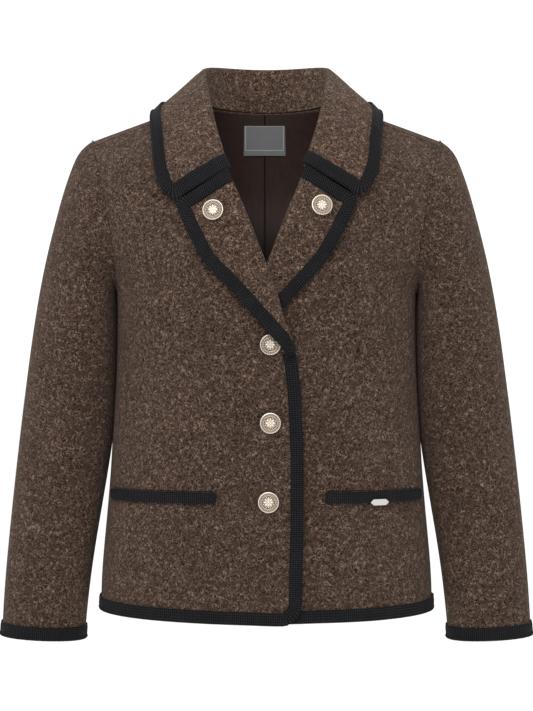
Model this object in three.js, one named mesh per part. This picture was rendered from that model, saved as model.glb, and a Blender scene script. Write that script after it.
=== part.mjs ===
// A hip-length boiled-wool jacket, filled out as it is when worn and open inside, with a
// notched collar and lapels, three buttons, two welt pockets and a knitted braid binding.
// Sizes are in millimetres. +Z is up, the front faces -Y and +X is the wearer's left.
// The origin is in the middle of the neck, level with the neck ends of the shoulders.
import * as THREE from 'three';

const CLOTH = 3;            // boiled wool
const SEAM = 0.3;           // clearance between two pieces that are sewn together
const BRAID = 1.5;          // thickness of the knitted braid
const BRAID_WIDTH = 13;
const BRAID_TURN = 8;       // the braid's width on the inside of the garment
const BRAID_LIFT = 0.8;     // clearance under the braid where it lies on the cloth
const BRAID_EASE = 0.2;     // added where the braid passes the cut edge
const SATIN = 1;
const LABEL = 0.8;

const NECK_HALF = 82;       // from the middle of the neck to the neck end of a shoulder
const NECK_RISE = 40;       // how far the shoulders would run on up into a neck
const SHOULDER_SLOPE = 0.375;
const SHOULDER_START = -110; // height where the body begins to close in to the shoulders
const SHOULDER_ROUND = 1.7;
const SEAM_FORWARD = 12;    // the shoulder seam lies this far below the ridge, in front
const BODY_ROUND = 2.4;     // 2 is an ellipse in plan, more is squarer
const UNDERARM = -235;
const BREAK = -302;         // where the front edge turns over into the lapel
const OVERLAP_TUCK = 8.6;    // the left front passes this far behind the right one
const ROLL_RADIUS = 3;      // the fold of the collar, in the middle of the cloth
const SEAM_FOLLOW = 0.5;    // how far the neckline follows the collar's higher left end
const LIE = 5.2;            // the middle of a lapel's cloth above the front it lies on
const COLLAR_LIE = 6.9;     // the same for the collar over the shoulders

const wool = new THREE.MeshStandardMaterial({ color: 0x544439, roughness: 0.95, metalness: 0 });
const collarWool = new THREE.MeshStandardMaterial({ color: 0x5c4b3e, roughness: 0.95, metalness: 0 });
const braid = new THREE.MeshStandardMaterial({ color: 0x1f2127, roughness: 0.85, metalness: 0 });
const satin = new THREE.MeshStandardMaterial({ color: 0x33261f, roughness: 0.4, metalness: 0 });
const woven = new THREE.MeshStandardMaterial({ color: 0x606163, roughness: 0.7, metalness: 0 });
const silver = new THREE.MeshStandardMaterial({ color: 0x9a9a94, roughness: 0.4, metalness: 1 });

// The body from above at each height: half its width, and its depth before and behind the
// side seams
const BODY = [
  { z: -640, half: 201, front: 128, back: 122 },
  { z: -604, half: 198.6, front: 127.5, back: 121.5 },
  { z: -560, half: 197, front: 126, back: 119 },
  { z: -500, half: 191.5, front: 121, back: 113 },
  { z: -440, half: 185.5, front: 117, back: 106 },
  { z: -380, half: 181, front: 114, back: 102 },
  { z: -320, half: 178, front: 115, back: 102 },
  { z: -275, half: 177.3, front: 120, back: 106 },
  { z: -235, half: 178, front: 125, back: 111 },
  { z: -215, half: 185, front: 126, back: 113 },
  { z: -195, half: 193, front: 125.5, back: 115 },
  { z: -170, half: 204, front: 123, back: 116 },
  { z: -140, half: 213.5, front: 118.5, back: 117 },
  { z: -110, half: 219, front: 111, back: 116 },
  { z: -80, half: 222.5, front: 103, back: 112 },
  { z: -50, half: 225, front: 94, back: 107 },
  { z: -20, half: 226, front: 86, back: 102 },
  { z: 0, half: 226, front: 80, back: 100 },
  { z: 60, half: 226, front: 64, back: 96 },
];

// The armhole seam seen from the front
const ARMHOLE = [
  { z: -235, x: 178 },
  { z: -225, x: 176.6 },
  { z: -195, x: 177 },
  { z: -160, x: 181 },
  { z: -125, x: 187.5 },
  { z: -88, x: 196 },
  { z: -60, x: 204.5 },
  { z: -47, x: 208 },
];

// The neckline seam, from the middle of the back over the shoulder and down the front, and
// what the collar's cut edge keeps clear of it
const NECKLINE = [
  { x: 0, z: -6, face: 1, clear: 1.5 },
  { x: 22, z: -5.9, face: 1, clear: 1.5 },
  { x: 42, z: -5.6, face: 1, clear: 2 },
  { x: 60, z: -4.8, face: 1, clear: 2.4 },
  { x: 73, z: -3.6, face: 1, clear: 2.6 },
  { x: 81.4, z: 0.2, face: 1, clear: 3.2 },
  { x: 82, z: -12, face: -1, clear: 1.6 },
  { x: 77.5, z: -23.5, face: -1, clear: 0.8 },
  { x: 69, z: -44.5, face: -1, clear: 0.8 },
  { x: 60, z: -67.5, face: -1, clear: 0.8 },
  { x: 52.6, z: -86.5, face: -1, clear: 0.8 },
  { x: 48.9, z: -96, face: -1, clear: 0.8 },
];

// The fold of the collar, and its outer edge on the body, row for row with the neckline
const COLLAR = [
  { foldX: 0, foldY: 84, foldZ: 49, edgeX: 0, edgeZ: -22, face: 1, leftUp: 0 },
  { foldX: 25, foldY: 83, foldZ: 49.5, edgeX: 36, edgeZ: -22, face: 1, leftUp: 0 },
  { foldX: 46, foldY: 77, foldZ: 50, edgeX: 68, edgeZ: -22, face: 1, leftUp: 0 },
  { foldX: 64, foldY: 63, foldZ: 49, edgeX: 97, edgeZ: -21, face: 1, leftUp: 0 },
  { foldX: 75, foldY: 38, foldZ: 44, edgeX: 117.5, edgeZ: -19, face: 1, leftUp: 0 },
  { foldX: 75.5, foldY: 8, foldZ: 33, edgeX: 130.5, edgeZ: -18.3, face: 1, leftUp: 0 },
  { foldX: 71, foldY: -25, foldZ: 14, edgeX: 132.5, edgeZ: -36, face: -1, leftUp: 0 },
  { foldX: 66, foldY: -50, foldZ: -10, edgeX: 128.8, edgeZ: -63.5, face: -1, leftUp: 0 },
  { foldX: 60.5, foldY: -72, foldZ: -35, edgeX: 126, edgeZ: -88, face: -1, leftUp: 0 },
  { foldX: 53.5, foldY: -89.5, foldZ: -60, edgeX: 121, edgeZ: -106, face: -1, leftUp: 2 },
  { foldX: 48, foldY: -100.5, foldZ: -79.5, edgeX: 113.5, edgeZ: -120.5, face: -1, leftUp: 4 },
  { foldX: 43.8, foldY: -107.5, foldZ: -92.5, edgeX: 101, edgeZ: -128.5, face: -1, leftUp: 5 },
];

// The rows of a front: its inner edge, which is the front edge and then the roll of the
// lapel, and the height where the row meets the side seam or the armhole
const FRONT = [
  { edge: -17, z: -609.5, sideZ: -604 },
  { edge: -26, z: -606.5, sideZ: -600 },
  { edge: -33, z: -600, sideZ: -594 },
  { edge: -37.5, z: -590, sideZ: -586 },
  { edge: -38.5, z: -572, sideZ: -570 },
  { edge: -38.8, z: -545, sideZ: -545 },
  { edge: -39.8, z: -505, sideZ: -505 },
  { edge: -40.2, z: -465, sideZ: -463 },
  { edge: -40.2, z: -425, sideZ: -422 },
  { edge: -39, z: -385, sideZ: -382 },
  { edge: -36.8, z: -348, sideZ: -346 },
  { edge: -34, z: -320, sideZ: -317 },
  { edge: -31, z: BREAK, sideZ: -298 },
  { edge: -18, z: -282, sideZ: -278 },
  { edge: -8, leftEdge: -2, z: -240, sideZ: -257 },
  { edge: 5, leftEdge: 12, z: -203, sideZ: -243 },
  { edge: 15.2, leftEdge: 16.5, z: -176, sideZ: UNDERARM },
  { edge: 22.7, z: -157, sideZ: -231 },
  { edge: 29.3, z: -140, sideZ: -221 },
  { edge: 36, z: -124.5, sideZ: -204 },
  { edge: 45.8, z: -104, sideZ: -182 },
  { edge: 52, z: -88, sideZ: -158 },
  { edge: 59, z: -70, sideZ: -133 },
  { edge: 66, z: -52, sideZ: -108 },
  { edge: 72, z: -37, sideZ: -86 },
  { edge: 77.5, z: -23.5, sideZ: -70 },
  { edge: 82, z: -12, sideZ: -58.5 },
];
const FRONT_COLUMNS = 9;

// The rows of a lapel: the roll line, the outer edge, and how far the row stands off the
// front where the lapel rolls over the top button
const LAPEL_RIGHT = [
  { rollX: -25, rollZ: -284, edgeX: -17, edgeZ: -297, lift: 4.5 },
  { rollX: -21.5, rollZ: -270, edgeX: -3, edgeZ: -281, lift: 4.5 },
  { rollX: -13.7, rollZ: -236, edgeX: 16, edgeZ: -257, lift: 2.5 },
  { rollX: -0.8, rollZ: -203, edgeX: 40, edgeZ: -228.5, lift: 0.8 },
  { rollX: 11, rollZ: -172, edgeX: 68, edgeZ: -199.5, lift: 0 },
  { rollX: 24, rollZ: -139, edgeX: 83, edgeZ: -173, lift: 0 },
  { rollX: 37.1, rollZ: -108.8, edgeX: 95.2, edgeZ: -146.6, lift: 0 },
  { rollX: 42.3, rollZ: -96.5, edgeX: 99, edgeZ: -133.5, lift: 0 },
];
const LAPEL_LEFT = [
  { rollX: 5.5, rollZ: -207, edgeX: 22, edgeZ: -247, lift: 0 },
  { rollX: 8.5, rollZ: -190, edgeX: 42, edgeZ: -225, lift: 0 },
  { rollX: 13, rollZ: -167, edgeX: 66, edgeZ: -198, lift: 0 },
  { rollX: 24, rollZ: -139, edgeX: 82, edgeZ: -170, lift: 0 },
  { rollX: 38.6, rollZ: -105.3, edgeX: 95.7, edgeZ: -141.6, lift: 0 },
  { rollX: 43.5, rollZ: -93, edgeX: 99.5, edgeZ: -128.5, lift: 0 },
];
// The path of the lapel's cloth round the roll: along it, and out from the front
const LAPEL_ROLL = [
  { along: 4.9, out: -1.5 },
  { along: 2.6, out: -1 },
  { along: 1.3, out: 1.4 },
  { along: 2.4, out: 4.4 },
  { along: 6, out: 6 },
];

// Heights of the back's rows at the side seams and armholes, below the shoulders
const BACK_HEIGHTS = [-604, -578, -545, -500, -455, -410, -365, -320, -280, -255, UNDERARM,
  -231, -221, -204, -182, -158, -133, SHOULDER_START];
const BACK_SHOULDER_ROWS = 5;
// Where the back's columns end at the top, from the middle to the armhole
const BACK_COLUMNS = [0, 30.8, 57.4, 73.8, 79.5, 81.4, 82, 108, 134, 160, 184, 205];

// The rows of a sleeve, each a ring through its underarm side and its outer side
const SLEEVE = [
  { inX: 178, inZ: -235, outX: 208, outZ: -47, depth: 71, forward: 0, arm: 1 },
  { inX: 178.8, inZ: -233.3, outX: 212, outZ: -48.6, depth: 70.5, forward: 0, arm: 1 },
  { inX: 180.4, inZ: -232.6, outX: 216.5, outZ: -51.5, depth: 71, forward: 0, arm: 0.9 },
  { inX: 182, inZ: -233.6, outX: 222, outZ: -57, depth: 71, forward: 0, arm: 0.75 },
  { inX: 181.4, inZ: -238, outX: 228.5, outZ: -67, depth: 71, forward: 0, arm: 0.55 },
  { inX: 181, inZ: -245, outX: 235, outZ: -84, depth: 70.5, forward: 0, arm: 0.35 },
  { inX: 180.6, inZ: -253, outX: 243, outZ: -107, depth: 69.5, forward: 0, arm: 0.2 },
  { inX: 180.3, inZ: -262, outX: 250, outZ: -134, depth: 68, forward: 1, arm: 0 },
  { inX: 180.2, inZ: -272, outX: 258, outZ: -164, depth: 66.5, forward: 1, arm: 0 },
  { inX: 180.2, inZ: -284, outX: 266, outZ: -197, depth: 65, forward: 0, arm: 0 },
  { inX: 180.4, inZ: -300, outX: 273, outZ: -232, depth: 63, forward: -1, arm: 0 },
  { inX: 180.8, inZ: -322, outX: 279.5, outZ: -270, depth: 61, forward: -2, arm: 0 },
  { inX: 182, inZ: -352, outX: 286, outZ: -316, depth: 58.5, forward: -3, arm: 0 },
  { inX: 183.8, inZ: -388, outX: 292.5, outZ: -366, depth: 56, forward: -3, arm: 0 },
  { inX: 187.5, inZ: -425, outX: 298.5, outZ: -418, depth: 53.5, forward: -2, arm: 0 },
  { inX: 193.5, inZ: -466, outX: 303.5, outZ: -466, depth: 51, forward: 1, arm: 0 },
  { inX: 200, inZ: -510, outX: 307.8, outZ: -513, depth: 48, forward: 5, arm: 0 },
  { inX: 207, inZ: -555, outX: 311.5, outZ: -557, depth: 45.5, forward: 9, arm: 0 },
  { inX: 211.5, inZ: -594, outX: 313.8, outZ: -593, depth: 43.5, forward: 12, arm: 0 },
  { inX: 214.3, inZ: -626, outX: 315, outZ: -621, depth: 42, forward: 14, arm: 0 },
  { inX: 215.5, inZ: -640, outX: 315.6, outZ: -635, depth: 41.5, forward: 15, arm: 0 },
];
const SLEEVE_SIDES = 18;
const ARMHOLE_CLEAR = 1.7;

const LINING_FROM = 1;       // the lining hangs from the neck to this row of the back

const LABEL_CLEAR = 2.3;
const LABEL_AT = { x: -2.5, width: 54, top: -18, bottom: -53 };

const POCKETS = [
  { name: 'pocket_right', side: -1, inner: 56.5, outer: 181, z: -468 },
  { name: 'pocket_left', side: 1, inner: 67.5, outer: 180, z: -468 },
];
const PLATE = { x: 128, z: -474, length: 24, width: 7, point: 4, thick: 1 };

const BUTTON = { radius: 12.2, rim: 2.6, dish: 2.1, boss: 3.2, bossRadius: 4 };
const BUTTONS = [
  { name: 'button_1', x: 4.4, z: -293.4, side: -1, on: 'front' },
  { name: 'button_2', x: 4.4, z: -382.9, side: -1, on: 'front' },
  { name: 'button_3', x: 2.2, z: -472.5, side: -1, on: 'front' },
  { name: 'button_lapel_right', x: -59.7, z: -143, side: -1, on: 'lapel' },
  { name: 'button_lapel_left', x: 61.9, z: -137.7, side: 1, on: 'lapel' },
];

// A smooth line through one column of a table, as a function of another column
function through(table, key, column) {
  const rows = [...table].sort((a, b) => a[key] - b[key]);
  const slopes = rows.map((row, i) => {
    const before = rows[Math.max(i - 1, 0)];
    const after = rows[Math.min(i + 1, rows.length - 1)];
    return (after[column] - before[column]) / (after[key] - before[key]);
  });
  return (value) => {
    let i = 0;
    while (i < rows.length - 2 && value > rows[i + 1][key]) i += 1;
    const span = rows[i + 1][key] - rows[i][key];
    const t = THREE.MathUtils.clamp((value - rows[i][key]) / span, 0, 1);
    const turn = t * t * (3 - 2 * t);
    const start = t * (1 - t) * (1 - t) * span * slopes[i];
    const end = t * t * (t - 1) * span * slopes[i + 1];
    return rows[i][column] * (1 - turn) + rows[i + 1][column] * turn + start + end;
  };
}

const halfWidth = through(BODY, 'z', 'half');
const frontDepth = through(BODY, 'z', 'front');
const backDepth = through(BODY, 'z', 'back');
const armholeX = through(ARMHOLE, 'z', 'x');
const rollX = through(LAPEL_RIGHT, 'rollZ', 'rollX');

const lerp = THREE.MathUtils.lerp;
const smoothstep = THREE.MathUtils.smoothstep;

// Height of the shoulder ridge, which runs on up towards the neck inside the neckline
function ridge(x) {
  const across = Math.abs(x);
  const neck = Math.max(0, 1 - (across / NECK_HALF) ** 2) ** 2;
  return NECK_RISE * neck - SHOULDER_SLOPE * (across - NECK_HALF);
}

function depthAt(z, face) {
  return face < 0 ? frontDepth(z) : backDepth(z);
}

// What is left of the body's depth at this distance from the middle
function planRound(x, z) {
  const ratio = Math.min(1, Math.abs(x) / halfWidth(z));
  return (1 - ratio ** BODY_ROUND) ** (1 / BODY_ROUND);
}

function shoulderShare(x, z) {
  return THREE.MathUtils.clamp((z - SHOULDER_START) / (ridge(x) - SHOULDER_START), 0, 1);
}

function shoulderRound(share) {
  return (1 - share ** SHOULDER_ROUND) ** (1 / SHOULDER_ROUND);
}

// The outward direction of the body's surface, from the slope of the equation it follows
function bodyNormal(point) {
  const step = 0.05;
  const face = point.y > 0 ? 1 : -1;
  const onShoulder = point.z > SHOULDER_START;
  const value = (x, y, z) => {
    const depth = depthAt(z, face);
    if (!onShoulder) {
      return (Math.abs(x) / halfWidth(z)) ** BODY_ROUND + (Math.abs(y) / depth) ** BODY_ROUND;
    }
    const reach = Math.abs(y) / (depth * planRound(x, z));
    return reach ** SHOULDER_ROUND + shoulderShare(x, z) ** SHOULDER_ROUND;
  };
  const { x, y, z } = point;
  return new THREE.Vector3(
    value(x + step, y, z) - value(x - step, y, z),
    value(x, y + step, z) - value(x, y - step, z),
    value(x, y, z + step) - value(x, y, z - step),
  ).normalize();
}

// A point on the outside of the body, with its outward direction
function onBody(x, z, face) {
  const y = face * depthAt(z, face) * planRound(x, z) * shoulderRound(shoulderShare(x, z));
  const p = new THREE.Vector3(x, y, z);
  return { p, n: bodyNormal(p) };
}

function raised(at, height) {
  return { p: at.p.clone().addScaledVector(at.n, height), n: at.n };
}

// The outside of a front at a distance from the middle towards its own side. The left
// front passes behind the right one where they overlap.
function onFront(across, z, side) {
  const at = onBody(side * across, z, -1);
  if (side < 0) return at;
  const overlap = (1 - smoothstep(across, 42, 130)) * smoothstep(-z, 150, 215);
  return raised(at, -OVERLAP_TUCK * overlap);
}

// A closed solid between an outer and an inner grid of points
function shell(outer, inner, round = false) {
  const rows = outer.length;
  const columns = outer[0].length;
  const position = [];
  [...outer, ...inner].forEach((row) => row.forEach((p) => position.push(p.x, p.y, p.z)));
  const out = (r, c) => r * columns + (c % columns);
  const within = (r, c) => rows * columns + out(r, c);
  const index = [];
  const quad = (a, b, c, d) => index.push(a, b, c, a, c, d);
  const steps = round ? columns : columns - 1;
  const last = rows - 1;
  for (let c = 0; c < steps; c += 1) {
    for (let r = 0; r < last; r += 1) {
      quad(out(r, c), out(r, c + 1), out(r + 1, c + 1), out(r + 1, c));
      quad(within(r, c), within(r + 1, c), within(r + 1, c + 1), within(r, c + 1));
    }
    quad(out(0, c), within(0, c), within(0, c + 1), out(0, c + 1));
    quad(out(last, c), out(last, c + 1), within(last, c + 1), within(last, c));
  }
  for (let r = 0; r < last && !round; r += 1) {
    quad(out(r, 0), out(r + 1, 0), within(r + 1, 0), within(r, 0));
    quad(out(r, steps), within(r, steps), within(r + 1, steps), out(r + 1, steps));
  }
  return closed(position, index);
}

// Turns the faces outwards where the grid ran the other way round
function closed(position, index) {
  const corner = (i) => new THREE.Vector3().fromArray(position, index[i] * 3);
  let volume = 0;
  for (let i = 0; i < index.length; i += 3) {
    volume += corner(i).dot(corner(i + 1).cross(corner(i + 2)));
  }
  if (volume < 0) index.reverse();
  const geometry = new THREE.BufferGeometry();
  geometry.setAttribute('position', new THREE.Float32BufferAttribute(position, 3));
  geometry.setIndex(index);
  geometry.computeVertexNormals();
  return geometry;
}

// A wall of cloth whose outside is a grid of points with directions
function wall(grid, thickness, round = false) {
  const layer = (depth) => grid.map((row) => row.map((at) => raised(at, -depth).p));
  return shell(layer(0), layer(thickness), round);
}

// Braid folded over an edge. Each step of the chain gives the edge and a point one braid
// width inside it, both on the outside of the cloth.
function binding(chain, round = false) {
  const turn = BRAID_TURN / BRAID_WIDTH;
  const section = (step, layer) => {
    const { edge, inside } = step;
    const away = edge.p.clone().sub(inside.p).normalize();
    const beyond = SEAM + BRAID_EASE + layer;
    const place = (at, out, height) => at.clone().addScaledVector(away, out)
      .addScaledVector(edge.n, height);
    const hidden = edge.p.clone().lerp(inside.p, turn);
    const hiddenNormal = edge.n.clone().lerp(inside.n, turn).normalize();
    const below = CLOTH + BRAID_LIFT + BRAID_EASE + 0.5 + layer;
    const corner = layer > 0 ? 0 : beyond;
    return [
      inside.p.clone().addScaledVector(inside.n, BRAID_LIFT + layer),
      place(edge.p, corner, BRAID_LIFT + layer),
      place(edge.p, beyond, -CLOTH / 2),
      place(edge.p, corner, -CLOTH - SEAM - layer),
      hidden.addScaledVector(hiddenNormal, -below),
    ];
  };
  const outer = chain.map((step) => section(step, BRAID));
  const inner = chain.map((step) => section(step, 0));
  if (!round) return shell(outer, inner);
  const lengthwise = (sections) => sections[0].map((_, i) => sections.map((row) => row[i]));
  return shell(lengthwise(outer), lengthwise(inner), true);
}

// Distance across a panel for a column: even steps of angle round the body, changing to
// even steps of length towards the shoulders
function spread(from, to, share, z) {
  const straight = lerp(from, to, share);
  const angle = lerp(Math.asin(from / to), Math.PI / 2, share);
  return lerp(to * Math.sin(angle), straight, smoothstep(z, UNDERARM, SHOULDER_START));
}

function sideX(z) {
  return z > UNDERARM ? armholeX(z) : halfWidth(z);
}

// Leaves half a seam's clearance at the side seam
function clearOfSide(at, face) {
  if (Math.abs(at.p.y) < SEAM) at.p.y = face * SEAM * 0.6;
  return at;
}

function frontGrid(side) {
  return FRONT.map((row) => {
    const outer = sideX(row.sideZ);
    const inner = side > 0 && row.leftEdge !== undefined ? row.leftEdge : row.edge;
    const cells = [];
    for (let c = 0; c <= FRONT_COLUMNS; c += 1) {
      const across = spread(inner, outer, c / FRONT_COLUMNS, row.sideZ);
      const z = lerp(row.z, row.sideZ, (across - inner) / (outer - inner));
      cells.push(clearOfSide(onFront(across, z, side), -1));
    }
    return cells;
  });
}

// The braid of a front starts at the side seam, follows the hem and its rounded corner and
// climbs the front edge to where the lapel turns over
function frontBinding(side) {
  const path = [];
  for (let c = FRONT_COLUMNS; c > 0; c -= 1) {
    const hem = FRONT[0];
    const outer = sideX(hem.sideZ);
    const across = spread(hem.edge, outer, c / FRONT_COLUMNS, hem.sideZ);
    const z = lerp(hem.z, hem.sideZ, (across - hem.edge) / (outer - hem.edge));
    const up = z + BRAID_WIDTH;
    path.push({ x: across, z, upX: across * halfWidth(up) / halfWidth(z), upZ: up });
  }
  const edge = FRONT.filter((row) => row.z <= BREAK);
  edge.forEach((row, i) => {
    const before = edge[i - 1] || { edge: 0, z: FRONT[0].z };
    const after = edge[i + 1] || row;
    const length = Math.hypot(after.edge - before.edge, after.z - before.z);
    const upX = row.edge + BRAID_WIDTH * (after.z - before.z) / length;
    const upZ = row.z - BRAID_WIDTH * (after.edge - before.edge) / length;
    path.push({ x: row.edge, z: row.z, upX, upZ });
  });
  return binding(path.map((at) => ({
    edge: clearOfSide(onFront(at.x, at.z, side), -1),
    inside: clearOfSide(onFront(at.upX, at.upZ, side), -1),
  })));
}

// Angle round the shoulder, from the back over the ridge to the front, of a point there
function shoulderAngle(x, z, face) {
  const share = shoulderShare(x, z);
  const angle = Math.asin(Math.min(1, share ** (SHOULDER_ROUND / 2)));
  return face > 0 ? angle : Math.PI - angle;
}

const neckHeight = through(NECKLINE.filter((row) => row.face > 0), 'x', 'z');

function backGrid() {
  const columns = [...BACK_COLUMNS.slice(1).map((x) => -x).reverse(), ...BACK_COLUMNS];
  const last = BACK_COLUMNS.length - 1;
  const low = (top) => Math.sin(BACK_COLUMNS.indexOf(Math.abs(top)) / last * Math.PI / 2);
  const grid = BACK_HEIGHTS.map((z) => columns.map((top) => {
    const towardsTop = smoothstep(z, UNDERARM, SHOULDER_START);
    const share = lerp(low(top), Math.abs(top) / BACK_COLUMNS[last], towardsTop);
    return clearOfSide(onBody(Math.sign(top) * share * sideX(z), z, 1), 1);
  }));
  for (let r = 1; r <= BACK_SHOULDER_ROWS; r += 1) {
    grid.push(columns.map((top) => {
      const x = Math.abs(top);
      const onNeckline = x < NECK_HALF;
      const endZ = onNeckline ? Math.min(neckHeight(x), ridge(x)) : ridge(x) - SEAM_FORWARD;
      const end = shoulderAngle(x, endZ, onNeckline ? 1 : -1);
      const seam = onNeckline ? 0 : 0.012;
      const angle = (end - seam) * r / BACK_SHOULDER_ROWS;
      const share = Math.sin(angle) ** (2 / SHOULDER_ROUND);
      let across = x;
      let z = 0;
      for (let i = 0; i < 8; i += 1) {
        z = SHOULDER_START + (ridge(across) - SHOULDER_START) * share;
        const armhole = armholeX(Math.min(z, ARMHOLE[ARMHOLE.length - 1].z));
        across = x * armhole / BACK_COLUMNS[last];
        if (x < NECK_HALF + 1) across = lerp(across, x, r / BACK_SHOULDER_ROWS);
      }
      return onBody(Math.sign(top) * across, z, Math.cos(angle) < 0 ? -1 : 1);
    }));
  }
  return grid;
}

function backBinding() {
  return binding(backGrid()[0].map((edge) => {
    const up = edge.p.z + BRAID_WIDTH;
    const across = edge.p.x * halfWidth(up) / halfWidth(edge.p.z);
    return { edge, inside: clearOfSide(onBody(across, up, 1), 1) };
  }));
}

// The lapel's cloth starts against the cut edge of the front, turns over along the roll
// and lies on the front
function lapelGrid(side, table) {
  return table.map((row) => {
    const width = Math.hypot(row.edgeX - row.rollX, row.edgeZ - row.rollZ);
    const turned = LAPEL_ROLL[LAPEL_ROLL.length - 1];
    const braidInside = Math.max(width - BRAID_WIDTH, lerp(turned.along, width, 0.4));
    const flat = [1 / 3, 2 / 3, 1].map((t) => lerp(turned.along, braidInside, t));
    const path = [...LAPEL_ROLL, ...[...flat, width].map((along) => (
      { along, out: lerp(turned.out, LIE, along / width) }))];
    const surface = (along) => onFront(lerp(row.rollX, row.edgeX, along / width),
      lerp(row.rollZ, row.edgeZ, along / width), side);
    return path.map((step, i) => {
      const before = path[Math.max(i - 1, 0)];
      const after = path[Math.min(i + 1, path.length - 1)];
      const tangent = new THREE.Vector2(after.along - before.along, after.out - before.out);
      tangent.normalize();
      const at = surface(step.along);
      const outwards = surface(step.along + 1).p.sub(surface(step.along - 1).p).normalize();
      const normal = at.n.clone().multiplyScalar(tangent.x)
        .addScaledVector(outwards, -tangent.y).normalize();
      const lift = row.lift * smoothstep(step.along, 2, 12);
      const middle = at.p.clone().addScaledVector(at.n, step.out + lift);
      return raised({ p: middle, n: normal }, CLOTH / 2);
    });
  });
}

// Braid round two sides of a grid that meet in a sharp corner, from its first row up the
// last column, round the corner and back along the last row
function cornerBinding(grid, endColumn) {
  const top = grid.length - 1;
  const edge = grid[0].length - 1;
  const chain = [];
  for (let r = 0; r < top - 1; r += 1) {
    chain.push({ edge: grid[r][edge], inside: grid[r][edge - 1] });
  }
  chain.push({ edge: grid[top - 1][edge],
    inside: between(grid[top - 1][edge - 1], grid[top - 2][edge - 1], 0.3) });
  chain.push({ edge: grid[top][edge], inside: grid[top - 1][edge - 1] });
  chain.push({ edge: grid[top][edge - 1],
    inside: between(grid[top - 1][edge - 1], grid[top - 1][edge - 2], 0.3) });
  for (let c = edge - 2; c >= endColumn; c -= 1) {
    chain.push({ edge: grid[top][c], inside: grid[top - 1][c] });
  }
  return chain;
}

function between(a, b, share) {
  return { p: a.p.clone().lerp(b.p, share), n: a.n.clone().lerp(b.n, share).normalize() };
}

// Lifts a point that would sink into the body to the height of a collar lying on it
function overBody(point) {
  const face = point.y > 0 ? 1 : -1;
  const flatDepth = depthAt(point.z, face) * planRound(point.x, point.z);
  const reach = Math.abs(point.y) / flatDepth;
  let z = point.z;
  if (reach < 0.85 || z >= ridge(point.x)) {
    const share = (1 - Math.min(reach, 1) ** SHOULDER_ROUND) ** (1 / SHOULDER_ROUND);
    z = SHOULDER_START + (ridge(point.x) - SHOULDER_START) * share;
  }
  const at = onBody(point.x, z, face);
  const height = point.clone().sub(at.p).dot(at.n);
  return height < COLLAR_LIE ? point.addScaledVector(at.n, COLLAR_LIE - height) : point;
}

function collarGrid() {
  const last = COLLAR.length - 1;
  const curve = (place) => {
    const points = [];
    for (let i = -last; i <= last; i += 1) {
      const p = place(Math.abs(i), i > 0 ? COLLAR[i].leftUp : 0);
      points.push(new THREE.Vector3(Math.sign(i) * p.x, p.y, p.z));
    }
    const line = new THREE.CatmullRomCurve3(points, false, 'centripetal');
    return (at) => line.getPoint((at + last) / (2 * last));
  };
  const foldPoint = (i, up) => (
    new THREE.Vector3(COLLAR[i].foldX, COLLAR[i].foldY, COLLAR[i].foldZ + up));
  const fold = curve(foldPoint);
  const edge = curve((i, up) => (
    raised(onBody(COLLAR[i].edgeX, COLLAR[i].edgeZ + up, COLLAR[i].face), COLLAR_LIE).p));
  const seam = curve((i, up) => {
    const row = NECKLINE[i];
    const at = onBody(row.x, row.z + up * SEAM_FOLLOW, row.face);
    const toFold = foldPoint(i, up).sub(at.p);
    toFold.addScaledVector(at.n, -toFold.dot(at.n)).normalize();
    return raised(at, -CLOTH / 2).p.addScaledVector(toFold, row.clear);
  });
  const sections = [-last];
  for (let i = 0; i <= 26; i += 1) sections.push(lerp(1 - last, last - 1, i / 26));
  sections.push(last);
  const middle = sections.map((at) => collarSection(fold(at), edge(at), seam(at)));
  return middle.map((row, r) => row.map((p, c) => {
    const along = middle[Math.min(r + 1, middle.length - 1)][c].clone()
      .sub(middle[Math.max(r - 1, 0)][c]);
    const across = row[Math.min(c + 1, row.length - 1)].clone().sub(row[Math.max(c - 1, 0)]);
    return raised({ p, n: along.cross(across).normalize() }, CLOTH / 2);
  }));
}

// The middle of the collar's cloth: up the stand from the seam, over the fold, down to
// the outer edge
function collarSection(fold, edge, seam) {
  const down = edge.clone().sub(fold).normalize();
  const inside = seam.clone().sub(fold).normalize();
  const up = down.clone().add(inside).normalize().negate();
  const open = down.clone().sub(inside);
  open.addScaledVector(up, -open.dot(up)).normalize();
  const centre = fold.clone().addScaledVector(up, -ROLL_RADIUS);
  const points = [seam];
  for (let i = 0; i <= 4; i += 1) {
    const angle = i * Math.PI / 4;
    points.push(centre.clone().addScaledVector(open, -ROLL_RADIUS * Math.cos(angle))
      .addScaledVector(up, ROLL_RADIUS * Math.sin(angle)));
  }
  points.splice(1, 0, seam.clone().lerp(points[1], 0.5));
  const start = points[points.length - 1];
  const braidInside = 1 - BRAID_WIDTH / start.distanceTo(edge);
  [0.14, 0.55, 1].forEach((t) => {
    points.push(overBody(start.clone().lerp(edge, t * braidInside).addScaledVector(open, 2)));
  });
  points.push(edge);
  return points;
}

function collarBinding(grid) {
  const half = Math.floor(grid.length / 2);
  const right = cornerBinding(grid.slice(0, half + 1).reverse(), 7);
  const left = cornerBinding(grid.slice(half), 7);
  return binding([...right.reverse(), ...left.slice(1)]);
}

// The armhole seam at an angle round it, from the underarm up the front and down the back
function armholePoint(angle) {
  const z = lerp(UNDERARM, ARMHOLE[ARMHOLE.length - 1].z, (1 - Math.cos(angle)) / 2);
  return onBody(armholeX(z), z, Math.sin(angle) > 0 ? -1 : 1);
}

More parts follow.
